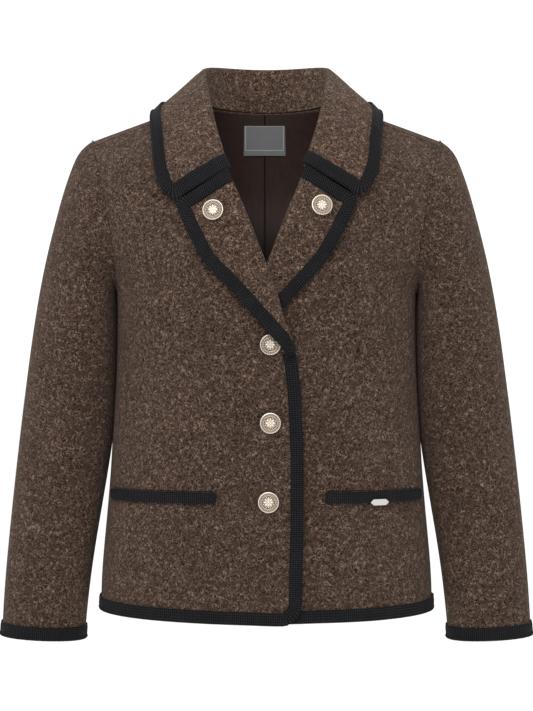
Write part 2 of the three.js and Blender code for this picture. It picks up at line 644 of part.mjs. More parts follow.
function sleeveRing(row, side) {
  const ring = [];
  const first = SLEEVE[0];
  for (let i = 0; i < SLEEVE_SIDES; i += 1) {
    const angle = i / SLEEVE_SIDES * 2 * Math.PI;
    const share = (1 - Math.cos(angle)) / 2;
    const seam = armholePoint(angle);
    const curve = seam.p.x - lerp(first.inX, first.outX, share);
    const oval = -Math.sign(Math.sin(angle)) * Math.abs(Math.sin(angle)) ** 0.9;
    const depth = lerp(oval, seam.p.y / first.depth, row.arm) * row.depth;
    const x = lerp(row.inX, row.outX, share) + curve * row.arm;
    const z = lerp(row.inZ, row.outZ, share);
    ring.push(new THREE.Vector3(side * x, depth - row.forward, z));
  }
  return ring;
}

function sleeveGrid(side) {
  const rings = SLEEVE.map((row) => sleeveRing(row, side));
  return rings.map((ring, r) => ring.map((p, i) => {
    if (r === 0) {
      const n = armholePoint(i / SLEEVE_SIDES * 2 * Math.PI).n;
      n.x *= side;
      return { p: p.clone().add(new THREE.Vector3(side * ARMHOLE_CLEAR, 0, 2 * SEAM)), n };
    }
    const along = rings[Math.min(r + 1, rings.length - 1)][i].clone().sub(rings[r - 1][i]);
    const around = ring[(i + 1) % SLEEVE_SIDES].clone()
      .sub(ring[(i + SLEEVE_SIDES - 1) % SLEEVE_SIDES]);
    return { p, n: along.cross(around).multiplyScalar(side).normalize() };
  }));
}

function cuffBinding(grid) {
  const [before, last] = grid.slice(-2);
  return binding(last.map((edge, i) => ({ edge, inside: before[i] })), true);
}

// The lining follows the back row for row, and stops short of the side seams. It has fewer
// columns where the back's are close together under the neck ends of the shoulders.
function liningGrid(back) {
  const last = BACK_COLUMNS.length - 1;
  const columns = BACK_COLUMNS.flatMap((top, i) => {
    const crowded = top > NECK_HALF - 5 && top < NECK_HALF + 1;
    if (crowded || i === last) return [];
    const under = CLOTH + SEAM + (Math.abs(top - NECK_HALF) < 10 ? 2 : 0.9);
    return i > 0 ? [{ i: last - i, under }, { i: last + i, under }] : [{ i: last, under }];
  }).sort((a, b) => a.i - b.i);
  return back.slice(LINING_FROM).map((row) => (
    columns.map(({ i, under }) => raised(row[i], -under))));
}

function labelGrid() {
  const under = CLOTH + SEAM + SATIN + LABEL_CLEAR;
  return [LABEL_AT.bottom, (LABEL_AT.bottom + LABEL_AT.top) / 2, LABEL_AT.top].map((z) => (
    [-0.5, -0.25, 0, 0.25, 0.5].map((share) => (
      raised(onBody(LABEL_AT.x + share * LABEL_AT.width, z, 1), -under)))));
}

// A strip of braid along the pocket mouth, with rounded ends. Its steps are the columns of
// the front, so that it lies flat on it.
function pocketGrid(pocket) {
  const row = FRONT.find((at) => at.z > pocket.z);
  const columns = [];
  for (let c = 0; c <= FRONT_COLUMNS; c += 1) {
    columns.push(spread(row.edge, sideX(row.sideZ), c / FRONT_COLUMNS, row.sideZ));
  }
  const { inner, outer } = pocket;
  const onColumns = columns.filter((x) => x > inner + 8 && x < outer - 4);
  const places = [inner, inner + 1.5, inner + 5, ...onColumns, outer - 2.5, outer - 0.7, outer];
  return places.map((across) => {
    const fromEnd = Math.min(across - inner, outer - across);
    const shy = 3 * (1 - smoothstep(fromEnd, -2, 5)) ** 2;
    return [-1, 0, 1].map((edge) => {
      const z = pocket.z + edge * (BRAID_WIDTH / 2 - shy);
      return raised(onFront(across, z, pocket.side), BRAID_LIFT + BRAID);
    });
  });
}

// A flat plate with pointed ends, lying on the pocket braid
function plateMesh() {
  const { length, width, point, thick } = PLATE;
  const outline = new THREE.Shape([
    new THREE.Vector2(-length / 2, 0),
    new THREE.Vector2(-length / 2 + point, -width / 2),
    new THREE.Vector2(length / 2 - point, -width / 2),
    new THREE.Vector2(length / 2, 0),
    new THREE.Vector2(length / 2 - point, width / 2),
    new THREE.Vector2(-length / 2 + point, width / 2),
  ]);
  const geometry = new THREE.ExtrudeGeometry(outline, { depth: thick, bevelEnabled: false });
  const at = raised(onFront(PLATE.x, PLATE.z, 1), BRAID_LIFT + BRAID + 2 * SEAM);
  const mesh = named('pocket_plate', geometry, silver);
  mesh.position.copy(at.p);
  mesh.quaternion.copy(facing(at.n));
  return mesh;
}

// Turns a piece made on the XY plane so that its +Z faces outwards and its +Y stays up
function facing(normal) {
  const across = new THREE.Vector3(0, 0, 1).cross(normal).normalize();
  const up = normal.clone().cross(across);
  return new THREE.Quaternion().setFromRotationMatrix(
    new THREE.Matrix4().makeBasis(across, up, normal));
}

function buttonMesh(button) {
  const { radius, rim, dish, boss, bossRadius } = BUTTON;
  const profile = [[0, 0], [radius - 1, 0], [radius, 1], [radius - 0.7, rim],
    [radius - 2.4, dish], [bossRadius, dish + 0.3], [0, boss]];
  const points = profile.map(([r, h]) => new THREE.Vector2(r, h));
  const geometry = new THREE.LatheGeometry(points, 18).rotateX(Math.PI / 2);
  const rise = button.on === 'lapel' ? lapelRise(button) : SEAM;
  const at = raised(onFront(Math.abs(button.x) * Math.sign(button.x * button.side), button.z,
    button.side), rise);
  const mesh = named(button.name, geometry, silver);
  mesh.position.copy(at.p);
  mesh.quaternion.copy(facing(at.n));
  return mesh;
}

// Height of a lapel's outside over the front at a button
function lapelRise(button) {
  const share = (Math.abs(button.x) - rollX(button.z)) / 60;
  return lerp(LAPEL_ROLL[LAPEL_ROLL.length - 1].out, LIE, share) + CLOTH / 2 + 2 * SEAM;
}

function named(name, geometry, material) {
  const mesh = new THREE.Mesh(geometry, material);
  mesh.name = name;
  return mesh;
}

const jacket = new THREE.Group();
const collar = collarGrid();
const back = backGrid();

jacket.add(named('back', wall(back, CLOTH), wool));
jacket.add(named('lining_back', wall(liningGrid(back), SATIN), satin));
jacket.add(named('label', wall(labelGrid(), LABEL), woven));
jacket.add(named('collar', wall(collar, CLOTH), collarWool));
jacket.add(named('binding_collar', collarBinding(collar), braid));
jacket.add(named('binding_back', backBinding(), braid));

[{ side: -1, hand: 'right', lapel: LAPEL_RIGHT }, { side: 1, hand: 'left', lapel: LAPEL_LEFT }]
  .forEach(({ side, hand, lapel }) => {
    const lapelCloth = lapelGrid(side, lapel);
    const sleeve = sleeveGrid(side);
    const lapelBraid = binding(cornerBinding(lapelCloth, 4));
    jacket.add(named(`front_${hand}`, wall(frontGrid(side), CLOTH), wool));
    jacket.add(named(`binding_front_${hand}`, frontBinding(side), braid));
    jacket.add(named(`lapel_${hand}`, wall(lapelCloth, CLOTH), collarWool));
    jacket.add(named(`binding_lapel_${hand}`, lapelBraid, braid));
    jacket.add(named(`sleeve_${hand}`, wall(sleeve, CLOTH, true), wool));
    jacket.add(named(`binding_cuff_${hand}`, cuffBinding(sleeve), braid));
  });

POCKETS.forEach((pocket) => jacket.add(named(pocket.name, wall(pocketGrid(pocket), BRAID), braid)));
jacket.add(plateMesh());
BUTTONS.forEach((button) => jacket.add(buttonMesh(button)));

export default jacket;
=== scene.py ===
import math

import bmesh
import bpy
import numpy as np
from mathutils import Matrix, Vector
from mathutils.bvhtree import BVHTree


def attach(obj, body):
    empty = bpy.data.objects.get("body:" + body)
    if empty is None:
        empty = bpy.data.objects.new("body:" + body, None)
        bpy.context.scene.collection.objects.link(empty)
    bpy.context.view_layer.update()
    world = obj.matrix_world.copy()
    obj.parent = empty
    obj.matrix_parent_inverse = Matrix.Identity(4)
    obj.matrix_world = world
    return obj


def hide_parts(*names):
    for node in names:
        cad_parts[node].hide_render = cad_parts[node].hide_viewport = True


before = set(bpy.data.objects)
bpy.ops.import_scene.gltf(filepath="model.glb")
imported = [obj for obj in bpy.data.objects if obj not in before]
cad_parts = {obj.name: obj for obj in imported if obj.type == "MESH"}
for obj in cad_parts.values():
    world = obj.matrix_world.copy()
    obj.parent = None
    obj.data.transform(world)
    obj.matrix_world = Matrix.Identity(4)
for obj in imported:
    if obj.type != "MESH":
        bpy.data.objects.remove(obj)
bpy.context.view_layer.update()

bpy.ops.object.select_all(action="DESELECT")


# The boiled-wool panels
# Back, fronts and sleeves are cut from one felted knit about 3 mm thick, in brown yarn
# with pale and dark fibres. The panels are sewn edge to edge. Each keeps the wall of its
# solid, gets soft dents where the cloth gives, and keeps its cut edges crisp.


class Yarn:
    """One value inside a finish. Arithmetic on it adds the maths that it stands for."""

    def __init__(self, tree, socket=None):
        self.tree = tree
        self.socket = socket

    def add(self, kind, inputs, output=0, stops=None, **settings):
        node = self.tree.nodes.new(kind)
        for name, value in settings.items():
            setattr(node, name, value)
        if stops:
            ramp = node.color_ramp.elements
            while len(ramp) < len(stops):
                ramp.new(1.0)
            for stop, (place, colour) in zip(ramp, stops):
                stop.position = place
                stop.color = (*colour, 1.0)
        for name, value in inputs.items():
            if isinstance(value, Yarn):
                self.tree.links.new(value.socket, node.inputs[name])
            else:
                node.inputs[name].default_value = value
        return Yarn(self.tree, node.outputs[output])

    def math(self, operation, second=0.0):
        return self.add("ShaderNodeMath", {0: self, 1: second}, operation=operation)

    def __add__(self, other):
        return self.math("ADD", other)

    def __sub__(self, other):
        return self.math("SUBTRACT", other)

    def __rsub__(self, other):
        return self.add("ShaderNodeMath", {0: other, 1: self}, operation="SUBTRACT")

    def __mul__(self, other):
        return self.math("MULTIPLY", other)

    def __abs__(self):
        return self.math("ABSOLUTE")

    __radd__ = __add__
    __rmul__ = __mul__

    def rise(self, low, high):
        """0 below low and 1 above high, with a soft step between."""
        limits = {"Value": self, "From Min": low, "From Max": high}
        return self.add("ShaderNodeMapRange", limits, interpolation_type="SMOOTHSTEP")

    def between(self, first, second):
        """The first colour where this is 0, the second where it is 1."""
        colours = {0: self, 6: first, 7: second}
        return self.add("ShaderNodeMix", colours, output=2, data_type="RGBA")

    def vector(self, operation, by=(0.0, 0.0, 0.0), scale=1.0):
        """Vector maths on this place or colour, with a second vector or with a scale."""
        inputs = {0: self, 1: by, 3: scale}
        return self.add("ShaderNodeVectorMath", inputs, operation=operation)

    def axis(self, name):
        return self.add("ShaderNodeSeparateXYZ", {"Vector": self}, output=name)

    def noise(self, scale, detail=2.0, output=0):
        """Soft noise, scale times a metre. Its output 0 is a value, 1 a colour."""
        inputs = {"Vector": self, "Scale": scale, "Detail": detail}
        return self.add("ShaderNodeTexNoise", inputs, output)

    def stretched(self, scale):
        return self.add("ShaderNodeMapping", {"Vector": self, "Scale": scale})

    def into(self, name):
        shader = self.tree.nodes["Principled BSDF"]
        self.tree.links.new(self.socket, shader.inputs[name])

    def bump(self, distance, strength=1.0):
        height = {"Height": self, "Distance": distance, "Strength": strength}
        self.add("ShaderNodeBump", height).into("Normal")


def finish(name, **constants):
    """A new finish, with the values that are the same all over it, and the place on the
    piece that its pattern starts from."""
    material = bpy.data.materials.new(name)
    material.use_nodes = True
    shader = material.node_tree.nodes["Principled BSDF"]
    for socket, value in constants.items():
        socket = socket.replace("_", " ").title().replace("Ior", "IOR")
        shader.inputs[socket].default_value = value
    place = Yarn(material.node_tree).add("ShaderNodeTexCoord", {}, output="Object")
    return material, place


def grey(value):
    return (value, value, value, 1.0)


# A buttonhole's slit reaches this far from its middle, and its cord lies this far out
HALF_SLIT = 0.0135
CORD_OUT = 0.0016
# The painted shade inside a buttonhole's slit and a pocket's mouth
SHADOW = grey(0.004)


def felted_wool(name, light, slits=(), mouth=None):
    """Melange felt, its colours scaled by light; above 1 this is painted light, as on the
    collar.
    slits are the middles of its buttonholes and mouth is where a pocket opens, in metres; the
    slits and the mouth line are painted dark, for the shade in them."""
    material, place = finish(name, roughness=0.93, sheen_weight=0.1, sheen_roughness=0.5,
                             sheen_tint=(0.8, 0.62, 0.5, 1.0), specular_ior_level=0.12)
    dark, brown, tan, pale = (tuple(c * light for c in fibre) + (1.0,) for fibre in (
        (0.0050, 0.0025, 0.0016), (0.0275, 0.0142, 0.0089), (0.0860, 0.0500, 0.0340),
        (0.2350, 0.1620, 0.1210)))
    sway = place.noise(170.0, 2.0, output=1).vector("SUBTRACT", by=(0.5, 0.5, 0.5))
    curled = sway.vector("SCALE", scale=0.009).vector("ADD", by=place)
    shifted = curled.vector("ADD", by=(3.1, 7.7, 5.3))
    matted = shifted.noise(480.0, 3.0)
    flock = place.noise(190.0).rise(0.2, 0.8)
    cloud = place.noise(14.0).rise(0.25, 0.75)
    strand = 1.0 - abs(curled.noise(350.0, 1.0) - 0.5).rise(0.0, 0.09)
    thread = 1.0 - abs(shifted.noise(270.0, 1.0) - 0.5).rise(0.0, 0.07)
    colour = (matted.rise(0.42, 0.6) * 0.92).between(brown, dark)
    colour = (strand * (0.35 + flock * 0.35)).between(colour, tan)
    colour = (thread * (0.1 + flock * 0.65)).between(colour, pale)
    height = matted * 0.6 + strand * 0.55 + thread * 0.45
    across, up = place.axis("X"), place.axis("Z")
    for x, z in slits:
        along = (abs(across - x) - HALF_SLIT).math("MAXIMUM")
        apart = (along * along + (up - z) * (up - z)).math("SQRT")
        cord = 1.0 - abs(apart - CORD_OUT).rise(0.0004, 0.0011)
        cut = 1.0 - apart.rise(0.0003, 0.0008)
        twist = (across * 4200.0).math("SINE") * 0.25 + 0.75
        colour = (cord * 0.85).between(colour, grey(0.022))
        # Painted shade: the slit is painted near black, for the shade inside it
        colour = cut.between(colour, SHADOW)
        height = height * (1.0 - cord) + cord * twist * 1.6 - cut * 1.5
    if mouth:
        inner, outer, level = mouth
        half = abs(outer - inner) / 2
        beside = abs(across - (inner + outer) / 2).rise(half - 0.001, half + 0.001)
        line = (1.0 - beside) * (1.0 - abs(up - level).rise(0.0003, 0.0011))
        # Painted shade: a dark line is painted along the pocket's mouth, for the shade in the
        # opening
        colour = (line * 0.9).between(colour, SHADOW)
    tone = 0.84 + cloud * 0.14 + flock * 0.12
    colour.vector("SCALE", scale=tone).into("Base Color")
    height.bump(0.0011, 0.9)
    return material


def merged(node):
    """A node's wall with its loose triangles joined up, in an edit mesh of its own."""
    wall = bmesh.new()
    wall.from_mesh(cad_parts[node].data)
    bmesh.ops.remove_doubles(wall, verts=wall.verts, dist=0.00001)
    return wall


def cloth_wall(node, levels=2, crisp=55.0):
    """Smooth cloth in the shape of a node, its cut edges, sharper than crisp, kept sharp."""
    wall = merged(node)
    bmesh.ops.join_triangles(wall, faces=wall.faces, angle_face_threshold=math.pi,
                             angle_shape_threshold=math.pi)
    edge_crease = wall.edges.layers.float.new("crease_edge")
    for edge in wall.edges:
        if len(edge.link_faces) == 2 and edge.calc_face_angle() > math.radians(crisp):
            edge[edge_crease] = 1.0
    mesh = bpy.data.meshes.new(node + "_cloth")
    wall.to_mesh(mesh)
    wall.free()
    piece = bpy.data.objects.new(node + "_cloth", mesh)
    bpy.context.scene.collection.objects.link(piece)
    select(piece)
    bpy.ops.mesh.customdata_custom_splitnormals_clear()
    if levels:
        smooth = piece.modifiers.new("Smooth", "SUBSURF")
        smooth.levels = levels
        smooth.render_levels = levels
        bpy.ops.object.modifier_apply(modifier="Smooth")
        bpy.ops.object.shade_smooth_by_angle(angle=math.radians(50))
    return piece


def select(piece):
    bpy.ops.object.select_all(action="DESELECT")
    piece.select_set(True)
    bpy.context.view_layer.objects.active = piece


def dent(piece, dents, centre=(0.0, 0.0)):
    """Presses soft troughs into both faces of the cloth, towards its centre. A dent is its
    line of (x, z), in millimetres, on the front (-1) or back (1), its width and its depth.
    It is deepest half way along. A dent of less than no depth is a ridge."""
    mesh = piece.data
    points = np.empty(len(mesh.vertices) * 3)
    mesh.vertices.foreach_get("co", points)
    points = points.reshape(-1, 3)
    outward = points[:, :2] - np.array(centre)
    outward /= np.linalg.norm(outward, axis=1)[:, None]
    flat = points[:, [0, 2]]
    move = np.zeros(len(points))
    for line, face, width, depth in dents:
        line = np.array(line) / 1000
        nearest = np.full(len(points), 1e9)
        along = np.zeros(len(points))
        for i in range(len(line) - 1):
            step = line[i + 1] - line[i]
            share = np.clip((flat - line[i]) @ step / (step @ step), 0, 1)
            apart = np.linalg.norm(flat - line[i] - share[:, None] * step, axis=1)
            along = np.where(apart < nearest, (i + share) / (len(line) - 1), along)
            nearest = np.minimum(nearest, apart)
        fade = np.sin(np.pi * np.clip(along * 0.84 + 0.08, 0, 1)) ** 0.8
        side = np.clip((points[:, 1] - centre[1]) * face * 25, 0, 1)
        shape = np.exp(-((nearest / (width / 1000)) ** 2))
        move -= depth / 1000 * shape * fade * side
    points[:, :2] += outward * move[:, None]
    mesh.vertices.foreach_set("co", points.ravel())
    mesh.update()


def lean(piece, line, reach):
    """Moves the cloth sideways as far as a reach from a line. Each of its points is its
    height, its x and how far the cloth moves there, in millimetres, from the lowest up."""
    heights, places, moves = np.array(line).T / 1000
    for vertex in piece.data.vertices:
        x, z = vertex.co.x, vertex.co.z
        apart = (x - np.interp(z, heights, places)) / (reach / 1000)
        vertex.co.x += np.interp(z, heights, moves) * math.exp(-apart ** 4)
    piece.data.update()


def dress(piece, material, node):
    """Gives a cloth piece its finish, hangs it from the root and hides the solid it stands
    for."""
    piece.data.materials.clear()
    piece.data.materials.append(material)
    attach(piece, "root")
    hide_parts(node)


# The sleeves rest against the body's sides, and their tops are drawn up to the armholes.
# Below the neck the left front's roll passes on under the right front in a straight line.
body_sides = [[(z, 177 * out, move * out) for z, move in (
    (-520, 0), (-440, 1.1), (-408, 1.8), (-239, 1.7), (-230, 0))] for out in (-1, 1)]
left_roll = [(-262, 4, 0), (-234, 9, -8.5), (-216, 9.7, -8.5), (-202, 7.5, -7),
             (-186, 9.7, -3.2), (-170, 13, -1), (-156, 18, 0)]

panel_wool = felted_wool("panel_wool", 1.0)
right_wool = felted_wool("front_right_wool", 1.0,
                         slits=[(0.0025, -0.2934), (0.0025, -0.3829), (0.0005, -0.4725)],
                         mouth=(-0.181, -0.0565, -0.4605))
left_wool = felted_wool("front_left_wool", 1.0, mouth=(0.0675, 0.180, -0.4605))

back_panel = cloth_wall("back")
dent(back_panel, [
    ([(-62, -170), (-70, -250), (-60, -330)], 1, 17, 1.8),
    ([(55, -185), (66, -262), (63, -318)], 1, 15, 1.5),
    ([(-8, -300), (3, -372), (-4, -430)], 1, 14, 1.4),
    ([(-150, -225), (-118, -262), (-96, -278)], 1, 10, 1.7),
    ([(146, -214), (122, -250), (88, -281)], 1, 9, 1.6),
    ([(-128, -352), (-84, -362), (-40, -356)], 1, 10, 1.3),
    ([(38, -366), (90, -371), (131, -358)], 1, 11, 1.1),
    ([(-104, -455), (-112, -530), (-108, -578)], 1, 16, 1.8),
    ([(88, -440), (98, -515), (94, -570)], 1, 15, 1.5),
    ([(-20, -520), (-12, -560), (-14, -585)], 1, 13, 1.0),
    ([(-36, -70), (-24, -96), (-4, -104), (22, -97), (40, -74)], 1, 9, 0.9),
])
for side in body_sides:
    lean(back_panel, side, 14)
dress(back_panel, panel_wool, "back")

front_right = cloth_wall("front_right")
dent(front_right, [
    ([(-170, -214), (-152, -235), (-128, -246)], -1, 8, 1.5),
    ([(-76, -240), (-84, -258), (-92, -283)], -1, 11, 1.4),
    ([(-162, -262), (-158, -330), (-161, -402)], -1, 11, 1.9),
    ([(-146, -338), (-112, -350), (-70, -352)], -1, 9, 1.1),
    ([(-60, -396), (-92, -415), (-126, -419)], -1, 10, 0.9),
    ([(-134, -500), (-140, -545), (-136, -584)], -1, 14, 1.4),
    ([(-62, -505), (-58, -548), (-64, -582)], -1, 13, 1.0),
    ([(-128, -82), (-120, -112), (-118, -150)], -1, 11, 0.9),
])
lean(front_right, body_sides[0], 14)
dress(front_right, right_wool, "front_right")

front_left = cloth_wall("front_left")
dent(front_left, [
    ([(171, -211), (149, -231), (131, -249)], -1, 8, 1.5),
    ([(109, -284), (98, -304), (91, -327)], -1, 8, 1.4),
    ([(163, -250), (160, -325), (162, -394)], -1, 11, 1.9),
    ([(64, -432), (108, -436), (154, -427)], -1, 8, 1.1),
    ([(54, -488), (57, -540), (52, -584)], -1, 12, 1.2),
    ([(140, -508), (143, -548), (139, -582)], -1, 13, 1.4),
    ([(60, -352), (88, -362), (122, -357)], -1, 9, 0.9),
    ([(126, -80), (121, -108), (116, -146)], -1, 11, 0.9),
])
lean(front_left, body_sides[1], 14)
lean(front_left, left_roll, 16)
dress(front_left, left_wool, "front_left")

sleeve_dents = {
    "right": [
        ([(-186, -250), (-205, -268), (-222, -276)], -1, 9, 1.6),
        ([(-199, -305), (-222, -322), (-246, -327)], -1, 8, 1.8),
        ([(-204, -352), (-228, -361), (-252, -352)], -1, 9, 1.4),
        ([(-276, -420), (-262, -440), (-240, -452)], -1, 10, 1.1),
        ([(-250, -500), (-254, -560), (-262, -608)], -1, 12, 1.2),
        ([(-232, -102), (-226, -140), (-224, -182)], -1, 11, 1.0),
        ([(-200, -285), (-226, -304), (-252, -305)], 1, 10, 1.7),
        ([(-206, -338), (-236, -346), (-262, -336)], 1, 9, 1.5),
        ([(-232, -470), (-246, -530), (-254, -590)], 1, 13, 1.3),
    ],
    "left": [
        ([(188, -240), (206, -262), (226, -267)], -1, 9, 1.4),
        ([(198, -292), (218, -306), (240, -303)], -1, 8, 1.9),
        ([(203, -336), (231, -350), (258, -346)], -1, 8, 1.6),
        ([(280, -398), (264, -424), (244, -431)], -1, 11, 1.2),
        ([(256, -492), (258, -550), (268, -600)], -1, 12, 1.1),
        ([(230, -98), (227, -136), (221, -178)], -1, 11, 1.0),
        ([(202, -276), (228, -296), (250, -293)], 1, 10, 1.6),
        ([(205, -330), (232, -343), (260, -338)], 1, 9, 1.6),
        ([(234, -480), (250, -535), (258, -585)], 1, 13, 1.2),
    ],
}
for side, out in (("right", -1), ("left", 1)):
    sleeve = cloth_wall("sleeve_" + side)
    dent(sleeve, sleeve_dents[side], (0.238 * out, -0.002))
    lean(sleeve, [(z, x * out, move * out) for z, x, move in (
        (-520, 190, 0), (-440, 188, -1.2), (-408, 183, -2), (-239, 180, -2.1),
        (-225, 178.4, -1.2), (-195, 178.7, -1.2), (-160, 182.7, -1.2), (-125, 189.2, -1.2),
        (-88, 197.7, -1.2), (-60, 206.2, -1.2), (-47, 209.7, -1.2))], 16)
    armhole = [(178 * out, -222), (179 * out, -190), (183 * out, -158), (190 * out, -122),
               (199 * out, -84), (206 * out, -64)]
    dent(sleeve, [(armhole, -1, 4.5, 1.3), (armhole, 1, 7, -1.6)], (0.238 * out, -0.002))
    dress(sleeve, panel_wool, "sleeve_" + side)


# The collar and the lapels
# The same wool, painted lighter on the collar and the lapels: painted light, for the light
# that falls on the turned-over cloth. The collar stands round the neck and folds down over
# the shoulders; each lapel folds out from its front.
# Painted light: this copy of the panel wool is painted 18 % lighter
collar_wool = felted_wool("collar_wool", 1.18)
collar = cloth_wall("collar", crisp=62.0)
dress(collar, collar_wool, "collar")
for side in ("right", "left"):
    lapel = cloth_wall("lapel_" + side, crisp=62.0)
    if side == "left":
        lean(lapel, left_roll, 16)
    size, area = ((0.10, 0.23), 0.0122) if side == "right" else ((0.09, 0.19), 0.0091)
    dress(lapel, collar_wool, "lapel_" + side)


# The back lining
# Dark brown satin, hung from the neck inside the back, in two halves with a seam down the
# middle. It hangs in soft upright folds.
SEAM_X = -0.0022
satin, place = finish("brown_satin", roughness=0.4, specular_ior_level=0.09)
seam = 1.0 - abs(place.axis("X") - SEAM_X).rise(0.0002, 0.0016)
slub = place.stretched((260.0, 260.0, 16.0)).noise(1.0)
colour = slub.between((0.024, 0.0145, 0.0125, 1.0), (0.044, 0.0275, 0.0240, 1.0))
# Painted shade: the satin is painted darker towards the bottom, for the shade deep inside the
# jacket; the same mask makes it rougher there
painted_shade_low = place.axis("Z").rise(-0.12, -0.2)
colour = (painted_shade_low * 0.8).between(colour, grey(0.002))
(seam * 0.8).between(colour, grey(0.003)).into("Base Color")
(0.38 + slub * 0.14 + painted_shade_low * 0.4).into("Roughness")
(slub * 0.12 - seam).bump(0.0009, 0.6)
lining = cloth_wall("lining_back", levels=3)
dent(lining, [
    ([(-46, -40), (-40, -160), (-52, -420)], 1, 9, 1.3),
    ([(28, -52), (33, -180), (26, -440)], 1, 8, 1.4),
    ([(-22, -90), (-24, -220), (-16, -380)], 1, 6, 1.1),
    ([(58, -70), (66, -200), (60, -360)], 1, 8, 1.2),
    ([(-80, -110), (-90, -260), (-84, -460)], 1, 10, 1.2),
    ([(104, -120), (110, -280), (100, -500)], 1, 11, 1.3),
])
dress(lining, satin, "lining_back")


# The label
# A plain woven tab with a pale woven border. Its top edge is sewn to the lining below the
# neck seam.
LABEL_X, LABEL_Z = -0.0025, -0.0355
FRAME_X, FRAME_Z = 0.0235, 0.0142
label_cloth, place = finish("label_weave", roughness=0.7)
across, up = abs(place.axis("X") - LABEL_X), abs(place.axis("Z") - LABEL_Z)
rib = (up * 7000.0).math("SINE") * 0.5 + 0.5
border = 1.0 - abs((across - FRAME_X).math("MAXIMUM", up - FRAME_Z)).rise(0.0002, 0.0006)
colour = rib.between((0.13, 0.132, 0.136, 1.0), (0.178, 0.180, 0.184, 1.0))
(border * 0.8).between(colour, grey(0.45)).into("Base Color")
(rib * 0.5 + border).bump(0.0003, 0.5)
label = cloth_wall("label", levels=3)
dress(label, label_cloth, "label")


# The braid
# A flat knitted braid in dark navy wool is folded over every raw edge and sewn down. Its
# ribs run across it, 2.4 mm apart, and show as fine teeth on the fold. The pockets' mouths
# are faced with the same braid.
# How far apart its ribs and stitches are, how high they rise, and how wide it is
RIB, STITCH = 0.0024, 0.0021
RIB_HIGH, STITCH_HIGH = 0.00017, 0.00007
WIDE = 0.013
# The points round one section: folded over an edge, or flat on a pocket
FOLDED, FLAT = 10, 6
# How high its two faces lie over the cloth
FACE_HIGH, BACK_HIGH = 0.0024, 0.0002
# A section's points are this near to each other, and cloth this far off isn't its own
SAME_SECTION, OTHER_CLOTH = 0.03, 0.008


def from_end(wall, count):
    """The sections of an open strip. Its cut end is a flat face of its own in the wall."""
    seen = set()
    for start in wall.faces:
        if start in seen:
            continue
        group, edge = {start}, [start]
        while edge:
            face = edge.pop()
            for side in face.edges:
                for other in side.link_faces:
                    if other not in group and face.normal.angle(other.normal) < 0.6:
                        group.add(other)
                        edge.append(other)
        seen |= group
        points = {v for face in group for v in face.verts}
        if len(group) == count - 2 and len(points) == count:
            layers = walk(points, count)
            if layers:
                return layers
    raise ValueError("no cut end")


def from_ring(wall, count):
    """The sections of a strip that closes on itself, from any one of them."""
    wall.verts.ensure_lookup_table()
    for first in wall.verts:
        for edge in first.link_edges:
            across = (edge.other_vert(first).co - first.co).normalized()
            apart = sorted((abs((v.co - first.co).dot(across)), v.index)
                           for v in wall.verts if (v.co - first.co).length < SAME_SECTION)
            points = {wall.verts[i] for _, i in apart[:count]}
            layers = walk(points, count, first.co, across)
            if layers:
                return layers
    raise ValueError("no section")


def walk(ring, count, place=None, across=None):
    """The sections that follow a first one, or nothing if they don't keep their size."""
    layers, seen = [ring], set(ring)
    while True:
        step = {e.other_vert(v) for v in layers[-1] for e in v.link_edges} - seen
        if across and len(layers) == 1:
            step = {v for v in step if (v.co - place).dot(across) > 0}
        if not step:
            return layers if len(layers) > 3 else None
        sides = [sum(e.other_vert(v) in step for e in v.link_edges) for v in step]
        if len(step) != count or min(sides) < 2 or (across and max(sides) > 2):
            return None
        layers.append(step)
        seen |= step


def follow(before, layer):
    """A section's points, each in the place of the point of the last section it continues."""
    best = [math.inf, None]

    def search(order, length):
        if length >= best[0]:
            return
        if len(order) == len(before):
            best[:] = length, order
            return
        start = before[len(order)]
        for edge in start.link_edges:
            point = edge.other_vert(start)
            beside = not order or any(e.other_vert(point) is order[-1]
                                      for e in point.link_edges)
            if point in layer and point not in order and beside:
                search(order + [point], length + edge.calc_length())

    search([], 0.0)
    return best[1]


def sections_of(node, count, closed=False):
    """The braid's cross sections one after another, each as its loop of points."""
    wall = merged(node)
    wall.verts.index_update()
    wall.normal_update()
    layers = from_ring(wall, count) if closed else from_end(wall, count)

    loop = [min(layers[1], key=lambda v: v.index)]
    while len(loop) < count:
        near = [e.other_vert(loop[-1]) for e in loop[-1].link_edges]
        loop.append(next(v for v in near if v in layers[1] and v not in loop))
    half = count // 2

    def gap(i):
        return (loop[i % count].co - loop[(i + 1) % count].co).length

    turn = min(range(half), key=lambda i: gap(i) + gap(i + half))
    loop = loop[turn + 1:] + loop[:turn + 1]
    orders = {1: loop, 0: follow(loop, layers[0])}
    for k in range(2, len(layers)):
        orders[k] = follow(orders[k - 1], layers[k])
    rings = np.array([[v.co[:] for v in orders[k]] for k in range(len(layers))])
    wall.free()
    outer, inner = rings[:, :half], rings[:, :half - 1:-1]
    centre = rings.mean(axis=1, keepdims=True)
    bulge = np.linalg.norm(outer - centre, axis=2).sum() - np.linalg.norm(
        inner - centre, axis=2).sum()
    if count == FLAT:
        bulge = np.linalg.norm(outer[..., :2]) - np.linalg.norm(inner[..., :2])
    if bulge < 0:
        outer, inner = inner, outer
    wide = np.linalg.norm(outer[:, 0] - outer[:, 1], axis=1).sum()
    if wide < np.linalg.norm(outer[:, -1] - outer[:, -2], axis=1).sum():
        outer, inner = outer[:, ::-1], inner[:, ::-1]
    return outer, inner


